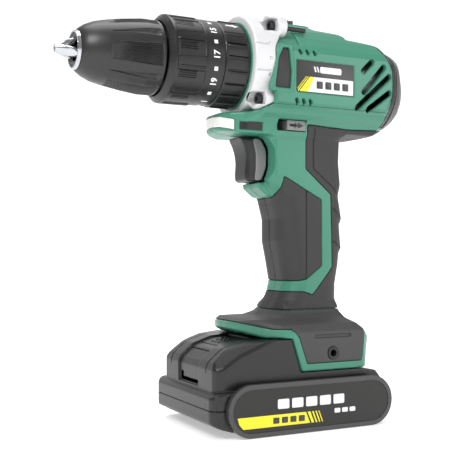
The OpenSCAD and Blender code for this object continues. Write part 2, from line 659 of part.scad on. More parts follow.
// Battery pack
module pack(t) {
    intersection() {
        side_plate(inset(pack_outline, t), -pack_half_w + t, pack_half_w - t);
        box([-big, -pack_half_w + t, 0], [big, pack_half_w - t, 25 - t]);
    }
    intersection() {
        side_plate(inset(pack_outline, t), -block_half_w + t, block_half_w - t);
        box([-big, -big, 24 - 2 * t], [big, big, 60]);
    }
}
module pack_hollow() pack(pack_wall);
module battery_case_lower() color(dark) difference() {
    pack(0);
    pack_hollow();
    box([-big, -big, parting_z - seat], [big, big, 100]);
}
module battery_case_upper() color(dark) difference() {
    union() {
        difference() {
            pack(0);
            pack_hollow();
        }
        box([tongue_x[0], -tongue_half_w, 32], [tongue_x[1] - 2, tongue_half_w, tongue_top]);
        box([latch_x[0] - 3, -latch_half_w - 3, 28], [latch_x[1] + 3, latch_half_w + 3, 40]);
    }
    box([-big, -big, -1], [big, big, parting_z]);
    // Slots for the blades and the latch pocket
    for (y = blade_y) box([tongue_x[0] - 1, y - 1.2, 33.5], [-39, y + 1.2, 50]);
    box([latch_x[0] - gap, -latch_half_w - gap, 29.5], [latch_x[1] + gap, latch_half_w + gap, 60]);
    // Front slot
    box([36, -24, 27], [60, 24, 28.4]);
}
module battery_cells() color([0.25, 0.5, 0.75]) for (i = [0 : cell_count - 1])
    cross_rod(last_cell_x + cell_pitch * i, cell_z, cell_d / 2, -cell_len / 2, cell_len / 2);
module battery_board() color([0.1, 0.35, 0.2]) box([-48, -26, 25.4], [-6, 26, 27]);
module stadium(margin, y0, y1) {
    r = end_plate_r - margin;
    mirrored() union() {
        for (x = [end_plate_x[0] + end_plate_r, end_plate_x[1] - end_plate_r])
            translate([x, y1, end_plate_r]) rotate([90, 0, 0]) cylinder(r = r, h = y1 - y0, $fn = 64);
        box([end_plate_x[0] + end_plate_r, y0, end_plate_r - r], [end_plate_x[1] - end_plate_r, y1,
            end_plate_r + r]);
    }
}
module battery_end_plates() color(dark) difference() {
    stadium(0, end_plate_y[0], end_plate_y[1]);
    stadium(label_margin, end_plate_y[1] - 1, 60);
}
module battery_labels() color([0.3, 0.3, 0.3])
    stadium(label_margin + 0.1, end_plate_y[1] - 1 + seat, end_plate_y[1] - 0.3);
module latch_button() color(soft) difference() {
    side_plate([[latch_x[0], 33], [latch_x[1], 33], [latch_x[1], 42.6], [18, 45.8], [latch_x[0], 49]],
        -latch_half_w, latch_half_w);
    for (i = [0 : 3], j = [-1 : 1]) translate([11.5 + 3.2 * i, 6 * j, 50.5 - 1.8 * i])
        sphere(r = 3.1, $fn = 16);
}

housing_left();
housing_right();
rear_cap();
grip_left();
grip_right();
foot_cover();
housing_screws();
gear_cover();
gear_cover_screws();
gearbox_case();
ring_gear_1();
ring_gear_2();
clutch_balls();
clutch_spring();
bearings();
motor_can();
motor_magnets();
motor_end_bell();
carbon_brushes();
switch_body();
led_lens();
led_board();
wiring();
terminal_block();
terminal_blades();
side_labels();
clip_inserts();
motor_shaft();
armature();
windings();
commutator();
cooling_fan();
carrier_1();
planet(0, 0);  // planet_1a
planet(0, 1);  // planet_1b
planet(0, 2);  // planet_1c
output_spindle();
planet(1, 0);  // planet_2a
planet(1, 1);  // planet_2b
planet(1, 2);  // planet_2c
chuck_body();
chuck_screw();
nose_ring();
chuck_sleeve();
chuck_nut();
jaw(0);  // jaw_1
jaw(1);  // jaw_2
jaw(2);  // jaw_3
torque_ring();
mode_ring();
trigger();
direction_lever();
speed_selector();
battery_case_lower();
battery_case_upper();
battery_cells();
battery_board();
battery_end_plates();
battery_labels();
latch_button();
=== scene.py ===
"""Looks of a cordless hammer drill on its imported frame. Shapes are worked out in mm and placed in metres.

+X points forward along the spindle, +Y to the drill's left, +Z up."""
import math
import bpy
import numpy as np
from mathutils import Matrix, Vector


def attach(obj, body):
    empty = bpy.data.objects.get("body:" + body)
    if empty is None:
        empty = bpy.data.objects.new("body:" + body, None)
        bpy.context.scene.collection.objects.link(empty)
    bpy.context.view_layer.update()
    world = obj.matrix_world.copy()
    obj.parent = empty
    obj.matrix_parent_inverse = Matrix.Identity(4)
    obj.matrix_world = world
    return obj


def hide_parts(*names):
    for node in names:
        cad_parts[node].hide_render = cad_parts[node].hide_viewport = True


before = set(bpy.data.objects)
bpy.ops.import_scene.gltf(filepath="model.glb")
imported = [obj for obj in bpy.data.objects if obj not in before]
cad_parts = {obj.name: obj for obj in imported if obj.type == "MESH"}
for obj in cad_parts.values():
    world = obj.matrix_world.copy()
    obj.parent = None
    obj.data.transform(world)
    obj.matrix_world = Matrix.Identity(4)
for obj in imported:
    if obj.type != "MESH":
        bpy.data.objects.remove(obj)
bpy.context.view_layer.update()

# Measures in mm
AXIS = 211.0  # height of the spindle
RUBBER = 1.8  # depth of the soft grip
SHELL_WALL = 3.2
CAP_WALL = 2.6
PACK_WALL = 2.2
GEARBOX_HOLE = 22.3  # its radius through the shells and the collar
SCREW_HOLE = 3.25  # radius round a housing screw's head
CAP_FLOOR = 178.5  # the rear bumper takes over from the shells above this height
EAR_Y = 20.5  # the collar's ears from the middle plane
EARS = ((21.0, -13.2, -1.0, -6.5), (-21.7, -5.2, 7.0, 1.6))  # height over the axis, back, front, screw seat
CLIP_HOLE = (-37, 42.8)  # x and z of the belt clip's hole
LABEL_FACE = 29.28  # y of the marks on the housing's label
PACK_FACE = 42.65  # y of the marks on the battery's end plates

# ---------------------------------------------------------------- shape tools


def fillet(points, r):
    """A closed outline with its corners rounded. A point may carry its own radius."""
    out, n = [], len(points)
    for i, point in enumerate(points):
        p = np.array(point[:2], float)
        u = np.array(points[i - 1][:2], float) - p
        v = np.array(points[(i + 1) % n][:2], float) - p
        lu, lv = np.hypot(*u), np.hypot(*v)
        u, v = u / lu, v / lv
        half = math.acos(float(np.clip(u @ v, -1, 1))) / 2
        radius = point[2] if len(point) > 2 else r
        t = min(radius / max(math.tan(half), 1e-6), 0.45 * lu, 0.45 * lv)
        for s in (0, 0.25, 0.5, 0.75, 1):
            out.append((1 - s) ** 2 * (p + u * t) + 2 * s * (1 - s) * p + s * s * (p + v * t))
    return np.array(out)


class Outline:
    """Signed distance to a closed outline, negative inside, sampled once on a fine grid."""

    def __init__(self, points, r, step=0.3, pad=6.0):
        pts = fillet(points, r)
        self.lo, self.step = pts.min(0) - pad, step
        self.a = np.arange(self.lo[0], pts[:, 0].max() + pad, step)
        self.b = np.arange(self.lo[1], pts[:, 1].max() + pad, step)
        a, b = np.meshgrid(self.a, self.b, indexing="ij")
        d, inside = np.full(a.shape, 1e9), np.zeros(a.shape, bool)
        for p, q in zip(pts, np.roll(pts, -1, 0)):
            e = q - p
            if e @ e < 1e-12:
                continue
            t = np.clip(((a - p[0]) * e[0] + (b - p[1]) * e[1]) / (e @ e), 0, 1)
            d = np.minimum(d, (a - p[0] - e[0] * t) ** 2 + (b - p[1] - e[1] * t) ** 2)
            if p[1] != q[1]:
                inside ^= ((p[1] > b) != (q[1] > b)) & (a < e[0] * (b - p[1]) / e[1] + p[0])
        self.d = (np.where(inside, -1, 1) * np.sqrt(d)).astype(np.float32)

    def __call__(self, a, b):
        u, v = (a - self.lo[0]) / self.step, (b - self.lo[1]) / self.step
        cu, cv = np.clip(u, 0, len(self.a) - 1.001), np.clip(v, 0, len(self.b) - 1.001)
        i, j = cu.astype(np.int32), cv.astype(np.int32)
        fu, fv, d = cu - i, cv - j, self.d
        near = (d[i, j] * (1 - fu) + d[i + 1, j] * fu) * (1 - fv) + \
            (d[i, j + 1] * (1 - fu) + d[i + 1, j + 1] * fu) * fv
        return near + np.hypot(u - cu, v - cv) * self.step


def both(a, b, r=0.0):
    """The common part of two solids, its edge rounded."""
    if np.ndim(r) == 0 and r <= 0:
        return np.maximum(a, b)
    return np.minimum(-r, np.maximum(a, b)) + np.hypot(np.maximum(a + r, 0), np.maximum(b + r, 0))


def either(a, b, r=0.0):
    return -both(-a, -b, r)


def less(a, b, r=0.0):
    return both(a, -b, r)


def between(v, low, high):
    return np.maximum(low - v, v - high)


def block(x, y, z, lo, hi, r=0.0):
    return both(both(between(x, lo[0], hi[0]), between(y, lo[1], hi[1]), r), between(z, lo[2], hi[2]), r)


def slot2(a, b, p, q, r):
    """A round-ended slot from p to q."""
    ex, ez = q[0] - p[0], q[1] - p[1]
    t = np.clip(((a - p[0]) * ex + (b - p[1]) * ez) / (ex * ex + ez * ez), 0, 1)
    return np.hypot(a - p[0] - ex * t, b - p[1] - ez * t) - r


def net(f, lo, hi, h):
    """Closed quad mesh of the surface f = 0: surface nets pulled onto the surface, with its normals."""
    axes = [np.arange(l, u + h, h, dtype=np.float32) for l, u in zip(lo, hi)]
    X, Y, Z = axes[0][:, None, None], axes[1][None, :, None], axes[2][None, None, :]
    values = np.empty([len(a) for a in axes], np.float32)
    for i in range(0, len(axes[0]), 12):
        x = X[i:i + 12]
        full = (x.shape[0], len(axes[1]), len(axes[2]))
        values[i:i + 12] = f(np.broadcast_to(x, full), np.broadcast_to(Y, full), np.broadcast_to(Z, full))
    inside = values < 0
    count = np.zeros([n - 1 for n in values.shape], np.int8)
    corners = [(i, j, k) for i in (0, 1) for j in (0, 1) for k in (0, 1)]
    for i, j, k in corners:
        count += inside[i:inside.shape[0] - 1 + i, j:inside.shape[1] - 1 + j, k:inside.shape[2] - 1 + k]
    cell = (count > 0) & (count < 8)
    ids = np.full(cell.shape, -1, np.int32)
    ids[cell] = np.arange(int(cell.sum()))
    cells = np.argwhere(cell)
    total, hits = np.zeros((len(cells), 3)), np.zeros(len(cells))
    for c in corners:
        for axis in range(3):
            if c[axis]:
                continue
            e = np.eye(3, dtype=int)[axis]
            a = values[tuple((cells + c).T)].astype(float)
            b = values[tuple((cells + c + e).T)].astype(float)
            crossed = (a < 0) != (b < 0)
            t = a[crossed] / (a[crossed] - b[crossed])
            total[crossed] += np.array(c) + t[:, None] * e
            hits[crossed] += 1
    P = np.array(lo) + h * (cells + total / hits[:, None])
    quads = []
    for axis in range(3):
        u, v = np.eye(3, dtype=int)[(axis + 1) % 3], np.eye(3, dtype=int)[(axis + 2) % 3]
        g = np.argwhere(np.diff(inside.astype(np.int8), axis=axis) != 0)
        o = [a for a in range(3) if a != axis]
        g = g[(g[:, o] >= 1).all(1) & (g[:, o] <= np.array(inside.shape)[o] - 2).all(1)]
        q = np.stack([ids[tuple((g - u - v).T)], ids[tuple((g - v).T)], ids[tuple(g.T)],
                      ids[tuple((g - u).T)]], 1)
        flip = ~inside[tuple(g.T)]
        q[flip] = q[flip][:, ::-1]
        quads.append(q)
    F = np.concatenate(quads)

    def slope(p, eps=0.12):
        g = np.empty_like(p)
        for axis in range(3):
            e = np.zeros(3)
            e[axis] = eps
            a, b = p + e, p - e
            g[:, axis] = (f(a[:, 0], a[:, 1], a[:, 2]) - f(b[:, 0], b[:, 1], b[:, 2])) / (2 * eps)
        return g
    for _ in range(3):
        g = slope(P)
        d = f(P[:, 0], P[:, 1], P[:, 2])
        move = -d[:, None] * g / np.maximum((g * g).sum(1), 0.25)[:, None]
        size = np.linalg.norm(move, axis=1)
        P = P + move * np.minimum(1, 0.35 * h / np.maximum(size, 1e-9))[:, None]
    N = slope(P, 0.2)
    return P, F, N / np.maximum(np.linalg.norm(N, axis=1), 1e-9)[:, None]


def make(name, P, F, material, body, normals=None, crease=None, stands_for=()):
    """One piece from points in mm and faces of 3 or 4 corners each (all the same, or a list)."""
    mesh = bpy.data.meshes.new(name)
    if isinstance(F, np.ndarray):
        k = F.shape[1]
        mesh.vertices.add(len(P))
        mesh.vertices.foreach_set("co", (np.asarray(P, float) / 1000).ravel())
        mesh.loops.add(F.size)
        mesh.loops.foreach_set("vertex_index", F.ravel())
        mesh.polygons.add(len(F))
        mesh.polygons.foreach_set("loop_start", np.arange(0, F.size, k))
        mesh.update(calc_edges=True)
    else:
        mesh.from_pydata([tuple(float(c) / 1000 for c in p) for p in P], [], [tuple(q) for q in F])
    mesh.validate()
    mesh.polygons.foreach_set("use_smooth", np.ones(len(mesh.polygons), bool))
    if crease is not None:
        mesh.set_sharp_from_angle(angle=math.radians(crease))
    if normals is not None and len(normals) == len(mesh.vertices):
        mesh.normals_split_custom_set_from_vertices(normals.tolist())
    o = bpy.data.objects.new(name, mesh)
    bpy.context.scene.collection.objects.link(o)
    mesh.materials.append(material)
    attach(o, body)
    if stands_for:
        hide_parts(*stands_for)
    return o


def solid(name, f, lo, hi, h, material, body, stands_for=()):
    P, F, N = net(f, lo, hi, h)
    return make(name, P, F, material, body, N, stands_for=stands_for)


def turned(name, profile, relief, material, body, stands_for=(), sectors=480, step=0.5, crease=35):
    """A ring round the spindle axis, from a closed list of [x, r]. Along the stretches that start at a point
    with a third number, relief(x, theta) adds to the radius. theta runs from +Y up to +Z."""
    rows = []
    for p, q in zip(profile, profile[1:] + profile[:1]):
        n = max(1, int(math.hypot(q[0] - p[0], q[1] - p[1]) / step)) if len(p) > 2 else 1
        rows += [(p[0] + (q[0] - p[0]) * i / n, p[1] + (q[1] - p[1]) * i / n, len(p) > 2) for i in range(n)]
    theta = np.linspace(0, 2 * np.pi, sectors, endpoint=False)
    P = []
    for x, r, worked in rows:
        radius = r + relief(np.full(sectors, x), theta) if worked else np.full(sectors, r)
        P.append(np.stack([np.full(sectors, x), radius * np.cos(theta), AXIS + radius * np.sin(theta)], 1))
    a = np.arange(len(rows))[:, None] * sectors
    b = ((np.arange(len(rows)) + 1) % len(rows))[:, None] * sectors
    i, j = np.arange(sectors)[None, :], (np.arange(sectors)[None, :] + 1) % sectors
    F = np.stack([a + i, b + i, b + j, a + j], 2).reshape(-1, 4)
    area = sum(p[0] * q[1] - q[0] * p[1] for p, q in zip(rows, rows[1:] + rows[:1]))
    return make(name, np.concatenate(P), F if area > 0 else F[:, ::-1], material, body, crease=crease,
                stands_for=stands_for)


def smooth_step(v, low, high):
    t = np.clip((v - low) / (high - low), 0, 1)
    return t * t * (3 - 2 * t)


def bump(v, half, soft):
    """1 within half of zero, falling to 0 over soft."""
    return 1 - smooth_step(np.abs(v), half, half + soft)


def within(v, start, full, fade, end):
    """Rises from 0 to 1 between start and full, and falls back between fade and end."""
    return smooth_step(v, start, full) * (1 - smooth_step(v, fade, end))


def around(degrees, middle, pitch):
    """The angle from the nearest of the middles, which repeat every pitch."""
    return (degrees - middle + pitch / 2) % pitch - pitch / 2


def tile(x0, x1, z0, z1, r):
    """A rectangle with rounded corners."""
    return fillet([(x0, z0), (x1, z0), (x1, z1), (x0, z1)], r)


def plates(name, outlines, y0, y1, material, body, stands_for=(), edge=0.12):
    """Thin flat plates on both sides, given as [x, z] outlines, from y0 to y1 with a small bevelled rim."""
    P, F = [], []
    for side in (1, -1):
        for points in outlines:
            pts = np.array([p[:2] for p in points], float)
            if sum(a[0] * b[1] - b[0] * a[1] for a, b in zip(pts, np.roll(pts, -1, 0))) < 0:
                pts = pts[::-1]
            n, mid, start = len(pts), pts.mean(0), len(P)
            size = np.abs(pts - mid).max(0)
            inner = mid + (pts - mid) * (1 - edge / np.maximum(size, 0.3))
            for ring, y in ((pts, y0), (pts, y1 - edge / 2), (inner, y1)):
                P += [(p[0], side * y, p[1]) for p in ring]
            cap = [start + 2 * n + i for i in range(n)]
            base = [start + i for i in range(n)]
            F.append(cap[::-1] if side > 0 else cap)
            F.append(base if side > 0 else base[::-1])
            for k in range(2):
                for i in range(n):
                    q = [start + k * n + i, start + k * n + (i + 1) % n, start + (k + 1) * n + (i + 1) % n,
                         start + (k + 1) * n + i]
                    F.append(q[::-1] if side > 0 else q)
    return make(name, P, F, material, body, crease=30, stands_for=stands_for)


def wrapped(name, shapes, r, material, body):
    """Thin marks wrapped round the spindle axis. A shape is (x, theta degrees, points, faces). A point's
    first number runs round the axis, its second forward."""
    P, F = [], []
    for x, turn, pts, faces in shapes:
        start, n = len(P), len(pts)
        for radius in (r, r + 0.12):
            for s, f in pts:
                a = math.radians(turn) + s / r
                P.append((x + f, radius * math.cos(a), AXIS + radius * math.sin(a)))
        rim = {}
        for face in faces:
            F.append([start + n + i for i in face][::-1])
            F.append([start + i for i in face])
            for a, b in zip(face, face[1:] + face[:1]):
                rim[(a, b)] = rim.get((a, b), 0) + 1
        for a, b in rim:
            if (b, a) not in rim:
                F.append([start + b, start + a, start + n + a, start + n + b][::-1])
    return make(name, P, F, material, body, crease=30)


def glyphs(text, height):
    """Points and faces of a number in Blender's own font, centred, with letters `height` mm tall."""
    curve = bpy.data.curves.new("number_" + text, "FONT")
    curve.body, curve.size, curve.offset = text, height / 0.72, 0.14
    curve.align_x, curve.align_y, curve.resolution_u = "CENTER", "CENTER", 3
    o = bpy.data.objects.new("number_" + text, curve)
    bpy.context.scene.collection.objects.link(o)
    mesh = bpy.data.meshes.new_from_object(o.evaluated_get(bpy.context.evaluated_depsgraph_get()))
    pts = [(v.co.x, v.co.y) for v in mesh.vertices]
    faces = [list(p.vertices) for p in mesh.polygons]
    up = [p.normal.z > 0 for p in mesh.polygons]
    bpy.data.objects.remove(o)
    bpy.data.curves.remove(curve)
    bpy.data.meshes.remove(mesh)
    return pts, [f if u else f[::-1] for f, u in zip(faces, up)]


# ---------------------------------------------------------------- materials
# A finish is varied by broad and fine noise in the object's own coordinates.


def finish(name, color, rough, metal=0.0, grain=0.1, scale=1600.0, vary=0.08, spread=0.08, coat=0.0,
           stretch=None, patches=45.0):
    m = bpy.data.materials.new(name)
    m.use_nodes = True
    nodes, links = m.node_tree.nodes, m.node_tree.links
    shader = nodes["Principled BSDF"]
    shader.inputs["Metallic"].default_value = metal
    if coat:
        shader.inputs["Coat Weight"].default_value = coat
        shader.inputs["Coat Roughness"].default_value = 0.15
    coord = nodes.new("ShaderNodeTexCoord")
    at = coord.outputs["Object"]
    if stretch:
        place = nodes.new("ShaderNodeMapping")
        place.inputs["Scale"].default_value = stretch
        links.new(at, place.inputs["Vector"])
        at = place.outputs["Vector"]
    fine, broad = nodes.new("ShaderNodeTexNoise"), nodes.new("ShaderNodeTexNoise")
    for node, s, detail in ((fine, scale, 2.0), (broad, patches, 4.0)):
        node.inputs["Scale"].default_value = s
        node.inputs["Detail"].default_value = detail
        links.new(at, node.inputs["Vector"])
    tint = nodes.new("ShaderNodeValToRGB")
    tint.color_ramp.elements[0].position, tint.color_ramp.elements[1].position = 0.3, 0.7
    tint.color_ramp.elements[0].color = [c * (1 - vary) for c in color] + [1]
    tint.color_ramp.elements[1].color = [min(1.0, c * (1 + vary)) for c in color] + [1]
    blend = nodes.new("ShaderNodeMix")
    blend.inputs[0].default_value = 0.35
    links.new(broad.outputs["Fac"], blend.inputs[2])
    links.new(fine.outputs["Fac"], blend.inputs[3])
    links.new(blend.outputs[0], tint.inputs["Fac"])
    links.new(tint.outputs["Color"], shader.inputs["Base Color"])
    shine = nodes.new("ShaderNodeMapRange")
    shine.inputs["To Min"].default_value = max(0.02, rough - spread)
    shine.inputs["To Max"].default_value = min(1.0, rough + spread)
    links.new(blend.outputs[0], shine.inputs["Value"])
    links.new(shine.outputs["Result"], shader.inputs["Roughness"])
    if grain:
        relief = nodes.new("ShaderNodeBump")
        relief.inputs["Strength"].default_value = grain
        relief.inputs["Distance"].default_value = 0.0001
        links.new(fine.outputs["Fac"], relief.inputs["Height"])
        links.new(relief.outputs["Normal"], shader.inputs["Normal"])
    return m


green = finish("green_plastic", (0.048, 0.224, 0.148), 0.34, grain=0.22, vary=0.05, scale=2200)
rubber = finish("soft_grip", (0.027, 0.0255, 0.026), 0.55, grain=0.5, vary=0.12, scale=2600)
strip_rubber = finish("soft_grip_light", (0.052, 0.05, 0.051), 0.58, grain=0.5, vary=0.12, scale=2600)
black = finish("black_plastic", (0.012, 0.012, 0.0125), 0.33, grain=0.25, vary=0.15, scale=2200)
satin_black = finish("satin_black_plastic", (0.018, 0.018, 0.0185), 0.36, grain=0.15, vary=0.12, scale=1800)
grey = finish("grey_plastic", (0.2, 0.2, 0.2), 0.42, grain=0.2, vary=0.06, scale=2200)
alloy = finish("light_alloy", (0.66, 0.66, 0.67), 0.4, metal=0.1, grain=0.3, vary=0.04, scale=1500)
steel = finish("steel", (0.5, 0.51, 0.53), 0.34, metal=1.0, grain=0.12, stretch=(0.05, 1, 1), scale=2500)
bright = finish("bright_steel", (0.5, 0.51, 0.53), 0.2, metal=1.0, grain=0.05, stretch=(0.1, 1, 1),
                spread=0.05)
black_steel = finish("black_steel", (0.04, 0.04, 0.043), 0.32, metal=0.6, grain=0.1)
copper = finish("copper", (0.6, 0.26, 0.12), 0.35, metal=1.0, grain=0.4, scale=900, stretch=(1, 1, 0.1))
brass = finish("brass", (0.62, 0.45, 0.18), 0.32, metal=1.0, grain=0.1)
magnet = finish("magnet", (0.09, 0.09, 0.1), 0.55, metal=0.7, grain=0.5, scale=1200)
carbon = finish("carbon", (0.025, 0.025, 0.025), 0.6, grain=0.4)
board = finish("circuit_board", (0.02, 0.13, 0.06), 0.3, grain=0.1, coat=0.4, vary=0.2, patches=300)
lens = finish("lens", (0.80, 0.80, 0.76), 0.12, grain=0.15, scale=500, coat=0.6, vary=0.1, patches=120)
label_dark = finish("label", (0.04, 0.04, 0.039), 0.38, grain=0.06, vary=0.08)
pack_label = finish("pack_label", (0.012, 0.012, 0.011), 0.42, grain=0.06, vary=0.08)
pack_rim = finish("pack_rim", (0.05, 0.05, 0.051), 0.24, grain=0.15, vary=0.1, scale=1800)
label_white = finish("label_white", (0.78, 0.78, 0.79), 0.35, grain=0.05, vary=0.03)
label_yellow = finish("label_yellow", (0.86, 0.76, 0.02), 0.35, grain=0.05, vary=0.04)
mark_white = finish("mark_white", (0.85, 0.85, 0.85), 0.45, grain=0.05, vary=0.03)
cell_wrap = finish("cell_wrap", (0.07, 0.2, 0.45), 0.25, grain=0.05, coat=0.3)
wire = finish("wire", (0.35, 0.03, 0.03), 0.45, grain=0.1)

# ---------------------------------------------------------------- housing shapes

barrel_side = Outline([(24.5, 173, 1.5), (24.5, 180, 1.5), (22, 181.8, 2), (8, 182, 3), (-3, 186),
                       (-3, 236.6, 1), (-16, 237), (-24, 237.8, 1), (-37, 237.8, 1.5), (-39.5, 236, 1),
                       (-55.5, 235, 2), (-60, 231.2, 2), (-78, 229.8), (-92, 228), (-104, 225, 6),
                       (-112, 219, 8), (-116.6, 208, 8), (-113.5, 196, 8), (-107, 187.5, 6),
                       (-98.3, 181, 6), (-88, 174.7, 6), (-79, 172.2, 6), (-62, 172.4, 3), (-50, 169.8),
                       (12, 169.6), (22, 171.4)], 1.5)
barrel_front = Outline([(-6, 239), (6, 239, 3), (11, 236.9, 4), (17, 232.8, 4), (22.6, 227.2, 4),
                        (27, 221.6, 3), (29.5, 217.4, 1), (29.6, 187.6, 1), (28.6, 185.8, 0.8),
                        (26.4, 184.4, 0.8), (25.6, 181.5, 1), (22.2, 178.8, 2), (19.8, 176, 2),
                        (18.8, 169), (-18.8, 169), (-19.8, 176), (-22.2, 178.8), (-25.6, 181.5),
                        (-26.4, 184.4), (-28.6, 185.8), (-29.6, 187.6), (-29.5, 217.4), (-27, 221.6),
                        (-22.6, 227.2), (-17, 232.8), (-11, 236.9)], 1)
barrel_plan = Outline([(24.6, -3, 3), (24.6, 3, 4), (22.6, 9.2, 4), (18.6, 14.6, 4), (12, 19, 4),
                       (4, 22.5, 2), (-2, 33), (-80, 33, 2), (-89, 29, 6), (-96.5, 23.6, 6),
                       (-104, 14.5, 6), (-110, 6.5, 6), (-116.6, 0, 8), (-110, -6.5, 6), (-104, -14.5, 6),
                       (-96.5, -23.6, 6), (-89, -29, 6), (-80, -33), (-2, -33), (4, -22.5), (12, -19),
                       (18.6, -14.6), (22.6, -9.2)], 4)
grip_side = Outline([(-5.5, 178), (-57, 178), (-56, 156, 12), (-57, 144.6), (-59.6, 131, 8),
                     (-61.3, 121, 1), (-59.6, 117.6, 1), (-60.6, 106, 1), (-61.0, 103.6, 1),
                     (-59.2, 100, 1), (-58.6, 93.7), (-56.4, 82), (-56, 60), (-12, 60), (-12.5, 66, 6),
                     (-18, 76, 6), (-20.2, 83.4, 8), (-17.8, 96.5, 10), (-15.4, 108, 10), (-15.4, 121, 8),
                     (-12.5, 132, 5), (-7.5, 142, 4), (-5.5, 146, 3)], 4)
guard_side = Outline([(-2, 142.3, 0.8), (-14, 142.3), (-14, 134), (-9, 134.2, 4), (-2.6, 139.4, 2)], 1)
foot_side = Outline([(17, 56.8, 2), (17, 60.6, 2), (8, 62.4), (-9, 62.6, 5), (-15, 65, 5), (-17, 70),
                     (-53.5, 70), (-54.5, 62, 3), (-59.5, 56.2, 3), (-66, 51.5, 1.5), (-66, 48.5, 1),
                     (-64.3, 46), (-62, 33.1, 1), (-16.5, 33.1, 1), (-10.3, 52.1, 1), (3.5, 52.3, 3)], 2)
foot_front = Outline([(-15, 74), (15, 74), (17.2, 66.5, 5), (24, 62.3, 5), (32.5, 59.6, 3), (37.5, 55, 3),
                      (37.5, 30), (-37.5, 30), (-37.5, 55), (-32.5, 59.6), (-24, 62.3), (-17.2, 66.5)], 4)
foot_plan = Outline([(17.6, -4, 4), (17.6, 4, 4), (13.5, 16, 9), (3, 28.5, 6), (-9.5, 37.5, 2),
                     (-58, 37.5, 5), (-66, 31, 5), (-66, -31, 5), (-58, -37.5, 5), (-9.5, -37.5),
                     (3, -28.5, 6), (13.5, -16, 9)], 3)

# What the rubber covers, as seen from the side
pad_region = Outline([(-15.5, 146, 1), (-41.4, 132.7, 1), (-41.7, 93, 1), (-31, 85, 2), (-26, 84),
                      (12, 84), (12, 130.2), (-8, 130.6, 3), (-12.4, 134, 4), (-14, 140, 3)], 1)
rear_region = Outline([(-30.5, 176.8, 0.5), (-30.5, 150.7, 1), (-48.2, 136, 1), (-49.3, 92, 1),
                       (-35.2, 75.5, 1), (-29, 77.6, 1), (12, 77.6), (12, 67.1), (-90, 67.1), (-90, 120),
                       (-112, 150), (-112, 181), (-98, 180), (-83, 176.4), (-60, 175.6)], 0.5)
foot_region = Outline([(30, 64.5), (30, 66.9), (-80, 66.9), (-80, 54.6), (-59.5, 54.6, 1), (-57, 37.5, 1),
                       (-19.5, 37.5, 1), (-14.3, 52.6, 1), (-10.3, 57.3, 1), (-0.7, 57.3, 2),
                       (14.1, 60.8)], 0.5)
insert_region = Outline([(-7.6, 218.2), (-11.7, 218.3), (-13.3, 205.1), (-12.6, 195.2), (-2.5, 195.2),
                         (-4.7, 211.9)], 0.6)
insert_frame = Outline([(-6.2, 220.4), (-13.8, 220.2), (-15.4, 205), (-14.6, 193.2), (1, 193.2),
                        (-2.9, 212.8)], 0.8)
trigger_side = Outline([(12.6, 169), (-8, 169), (-8, 142.8), (2.6, 142.8), (4.4, 143.8, 1.5), (4.7, 148),
                        (4.8, 155, 12), (7.2, 162, 8), (11, 167)], 1.5)
inlay_side = Outline([(0.6, 168.4, 2), (-4.5, 168.4, 4), (-8.8, 162, 8), (-8.8, 151.5, 8),
                      (-5.5, 143.6, 4), (-0.8, 143.4, 2), (-1.6, 151, 8), (-1.6, 159.5, 8)], 1.5)
trigger_gap = Outline([(16, 169.5), (-4.8, 169.5, 4), (-9.5, 162.4, 8), (-9.5, 151, 8), (-6, 142.6, 4),
                       (16, 142.6)], 1)
REAR_SLOTS = [((-64, 210), (-70.4, 216.1)), ((-64.4, 197.3), (-79, 213.7)), ((-59.8, 187.9), (-83.3, 208.3)),
              ((-68, 187.4), (-83.3, 198.3))]
BORDER = [(-35.7, 174.6), (-35.7, 151.2), (-49.8, 140.2), (-53, 137)]
SCREWS = [(-27, 133, -12.5), (-45, 100, -12.5), (-30, 90, -12.5), (-80, 178.5, -12), (2, 175.5, -12),
          (-88, 184, -12), (-50, 62, -21.5), (-3, 58.5, -21.5)]


def cap_split(z):
    """Where the rear bumper starts: further back at half height than at its ends."""
    return np.interp(z, [178, 184, 198, 212.5, 226, 234], [-81.5, -83, -86, -86, -79, -73])


def rear_dome(x, y, z):
    """Rounds the barrel's rear end, from an oval section there to no change at its middle."""
    half_width = np.interp(-x, [80, 89, 96.5, 104, 110, 116.6], [33, 29, 23.6, 14.5, 6.5, 1])
    up = np.interp(-x, [60, 78, 92, 104, 112, 116.6], [25.2, 23.8, 22, 19, 13, 2])
    down = np.interp(-x, [79, 88, 98.3, 107, 113.5, 116.6], [33.8, 31.3, 25, 18.5, 10, 2])
    power = 2.3 + 10 * smooth_step(x, -86, -60)
    height = np.where(z > 206, up, down)
    size = ((y / half_width) ** power + (np.abs(z - 206) / height) ** power) ** (1 / power)
    return np.where(x < -58, (size - 1) * np.minimum(half_width, height), -9.0)


def outer(x, y, z):
    """The whole housing's skin before anything is cut. y is taken as its distance from the middle."""
    barrel = both(both(barrel_side(x, z), barrel_front(y, z), 1.5), barrel_plan(x, y), 1.5)
    barrel = both(barrel, rear_dome(x, y, z), 2.0)
    grip = both(grip_side(x, z), y - 18, 12 - 6.5 * smooth_step(z, 134, 144))
    foot = both(both(foot_side(x, z), foot_front(y, z), 1.2), foot_plan(x, y), 1.5)
    guard = both(guard_side(x, z), y - 10.6, 2)
    return either(either(either(barrel, grip, 3.5), foot, 4), guard, 1.2)


def from_axis(y, z):
    return np.hypot(y, z - AXIS)


def lugs(x, y, z, extra):
    """The collar's four screw ears."""
    out = None
    for up, back, front, _ in EARS:
        disc = np.hypot(y - EAR_Y, z - AXIS - up) - 6.2 - extra
        ear = both(disc, between(x, back - extra, front + extra), 1.6)
        out = ear if out is None else either(out, ear, 0.5)
    return out


